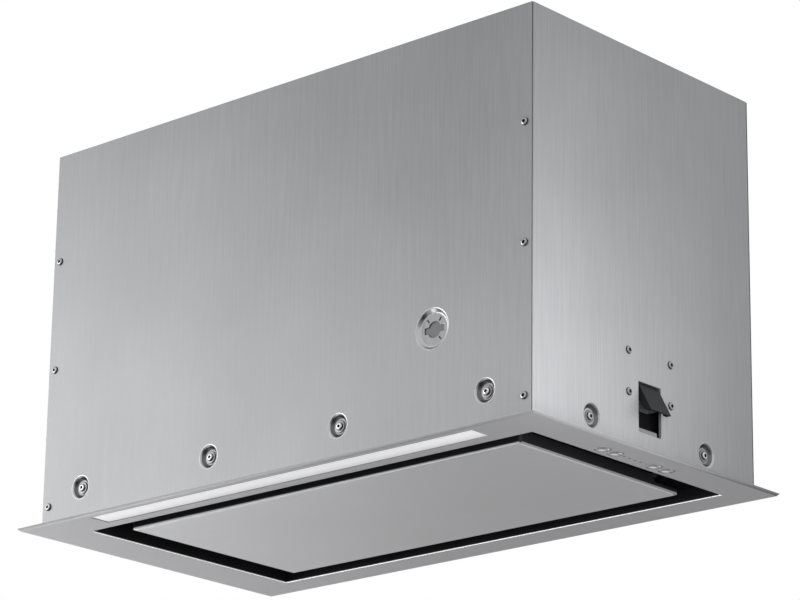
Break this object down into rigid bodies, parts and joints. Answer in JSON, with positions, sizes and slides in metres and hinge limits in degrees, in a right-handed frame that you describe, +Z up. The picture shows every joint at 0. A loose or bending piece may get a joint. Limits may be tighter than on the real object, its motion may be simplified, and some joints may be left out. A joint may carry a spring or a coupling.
{
  "type": "built-in range hood",
  "caption": "Built-in range hood with a hinged edge-suction panel, light strip and push buttons in its flange, spring clips, and a duct collar with a back-draught damper.",
  "frame": {"origin": "centre of the bottom flange's outline, at its underside", "axes": "+X to the right, -Y to the front with the light strip, +Z up to the duct collar"},
  "size_m": [0.52, 0.284, 0.338],
  "materials": {
    "casing_sheet": "galvanised sheet with a fine upright grain",
    "flange": "satin light grey",
    "well": "matte black",
    "bracket_steel": "plain galvanised",
    "screws": "bright zinc",
    "flap_plastic": "satin charcoal",
    "pins": "ground",
    "springs": "spring steel",
    "diffuser": "milky",
    "light_channel": "satin",
    "white_board": "white board",
    "white_plastic": "satin",
    "box_cover": "plain galvanised",
    "control_plastic": "matte",
    "circuit_board": "satin green",
    "light_pipe": "clear",
    "buttons": "silver plated",
    "panel_steel": "brushed along its length",
    "panel_inside": "plain galvanised",
    "dark_hardware": "black",
    "filter_aluminium": "satin mesh and border",
    "filter_wire": "bright",
    "scroll_plastic": "moulded",
    "fan_plastic": "moulded",
    "motor_can": "plain galvanised",
    "rubber": "matte",
    "collar_plastic": "moulded",
    "gland_plastic": "moulded",
    "lead_jacket": "matte"
  },
  "bodies": {
    "casing": {"front_panel": "casing_sheet", "rear_panel": "casing_sheet", "left_side_panel": "casing_sheet", "right_side_panel": "casing_sheet", "top_panel": "casing_sheet", "bottom_flange": "flange", "inner_well": "well", "filter_deck": "bracket_steel", "well_brackets": "bracket_steel", "edge_screws": "screws", "dimple_screws": "screws", "access_plate": "bracket_steel", "clip_screws": "screws", "clip_brackets": "bracket_steel", "clip_pins": "pins", "clip_springs": "springs", "light_diffuser": "diffuser", "light_housing": "light_channel", "led_board": "white_board", "led_driver": "white_plastic", "button_housing": "control_plastic", "control_board": "circuit_board", "light_pipes": "light_pipe", "panel_hinge_brackets": "dark_hardware", "panel_hinge_pins": "pins", "panel_magnets": "dark_hardware", "filter_hooks": "dark_hardware", "filter_magnets": "dark_hardware", "scroll_front": "scroll_plastic", "scroll_rear": "scroll_plastic", "motor": "motor_can", "motor_mount": "bracket_steel", "motor_grommets": "rubber", "outlet_collar": "collar_plastic", "damper_axle": "pins", "electronics_box": "white_plastic", "electronics_cover": "box_cover", "power_board": "circuit_board", "capacitor": "white_plastic", "terminal_block": "white_plastic", "cable_gland": "gland_plastic", "internal_leads": "lead_jacket"},
    "suction_panel": {"panel_skin": "panel_steel", "panel_backing": "panel_inside", "panel_lugs": "dark_hardware", "panel_strikers": "panel_inside"},
    "filter": {"filter_frame": "filter_aluminium", "filter_mesh": "filter_aluminium"},
    "filter_bail": {"filter_handle": "filter_wire"},
    "clip_left": {"clip_flap_left": "flap_plastic"},
    "clip_right": {"clip_flap_right": "flap_plastic"},
    "button_power": {"power_button": "buttons"},
    "button_slower": {"slower_button": "buttons"},
    "button_faster": {"faster_button": "buttons"},
    "button_light": {"light_button": "buttons"},
    "fan_wheel": {"impeller": "fan_plastic", "wheel_hub": "fan_plastic", "motor_shaft": "pins"},
    "damper_front": {"damper_flap_front": "collar_plastic"},
    "damper_rear": {"damper_flap_rear": "collar_plastic"}
  },
  "joints": [
    {"name": "panel_hinge", "type": "hinge", "parent": "casing", "child": "suction_panel", "pos_m": [0.007, 0.086, 0.009], "axis": [1, 0, 0], "range_deg": [0, 85]},
    {"name": "filter_drop", "type": "hinge", "parent": "casing", "child": "filter", "pos_m": [0.007, 0.101, 0.0827], "axis": [1, 0, 0], "range_deg": [0, 13]},
    {"name": "handle_swing", "type": "hinge", "parent": "filter", "child": "filter_bail", "pos_m": [0.007, -0.0815, 0.0746], "axis": [1, 0, 0], "range_deg": [-85, 85]},
    {"name": "clip_left_fold", "type": "hinge", "parent": "casing", "child": "clip_left", "pos_m": [-0.2416, 0.0035, 0.0518], "axis": [0, -1, 0], "range_deg": [0, 35], "stiffness_Nm_per_rad": 0.05, "springref_deg": -20.05},
    {"name": "clip_right_fold", "type": "hinge", "parent": "casing", "child": "clip_right", "pos_m": [0.2416, 0.0035, 0.0518], "axis": [0, 1, 0], "range_deg": [0, 35], "stiffness_Nm_per_rad": 0.05, "springref_deg": -20.05},
    {"name": "power_press", "type": "slide", "parent": "casing", "child": "button_power", "axis": [0, 0, 1], "range_m": [0, 0.0008], "stiffness_N_per_m": 300, "springref_m": -0.001},
    {"name": "slower_press", "type": "slide", "parent": "casing", "child": "button_slower", "axis": [0, 0, 1], "range_m": [0, 0.0008], "stiffness_N_per_m": 300, "springref_m": -0.001},
    {"name": "faster_press", "type": "slide", "parent": "casing", "child": "button_faster", "axis": [0, 0, 1], "range_m": [0, 0.0008], "stiffness_N_per_m": 300, "springref_m": -0.001},
    {"name": "light_press", "type": "slide", "parent": "casing", "child": "button_light", "axis": [0, 0, 1], "range_m": [0, 0.0008], "stiffness_N_per_m": 300, "springref_m": -0.001},
    {"name": "fan_spin", "type": "hinge", "parent": "casing", "child": "fan_wheel", "pos_m": [-0.08918, 0.012, 0.20711], "axis": [0, 1, 0], "continuous": true},
    {"name": "damper_front_lift", "type": "hinge", "parent": "casing", "child": "damper_front", "pos_m": [0, 0.012, 0.322], "axis": [-1, 0, 0], "range_deg": [0, 75]},
    {"name": "damper_rear_lift", "type": "hinge", "parent": "casing", "child": "damper_rear", "pos_m": [0, 0.012, 0.322], "axis": [1, 0, 0], "range_deg": [0, 75]}
  ]
}
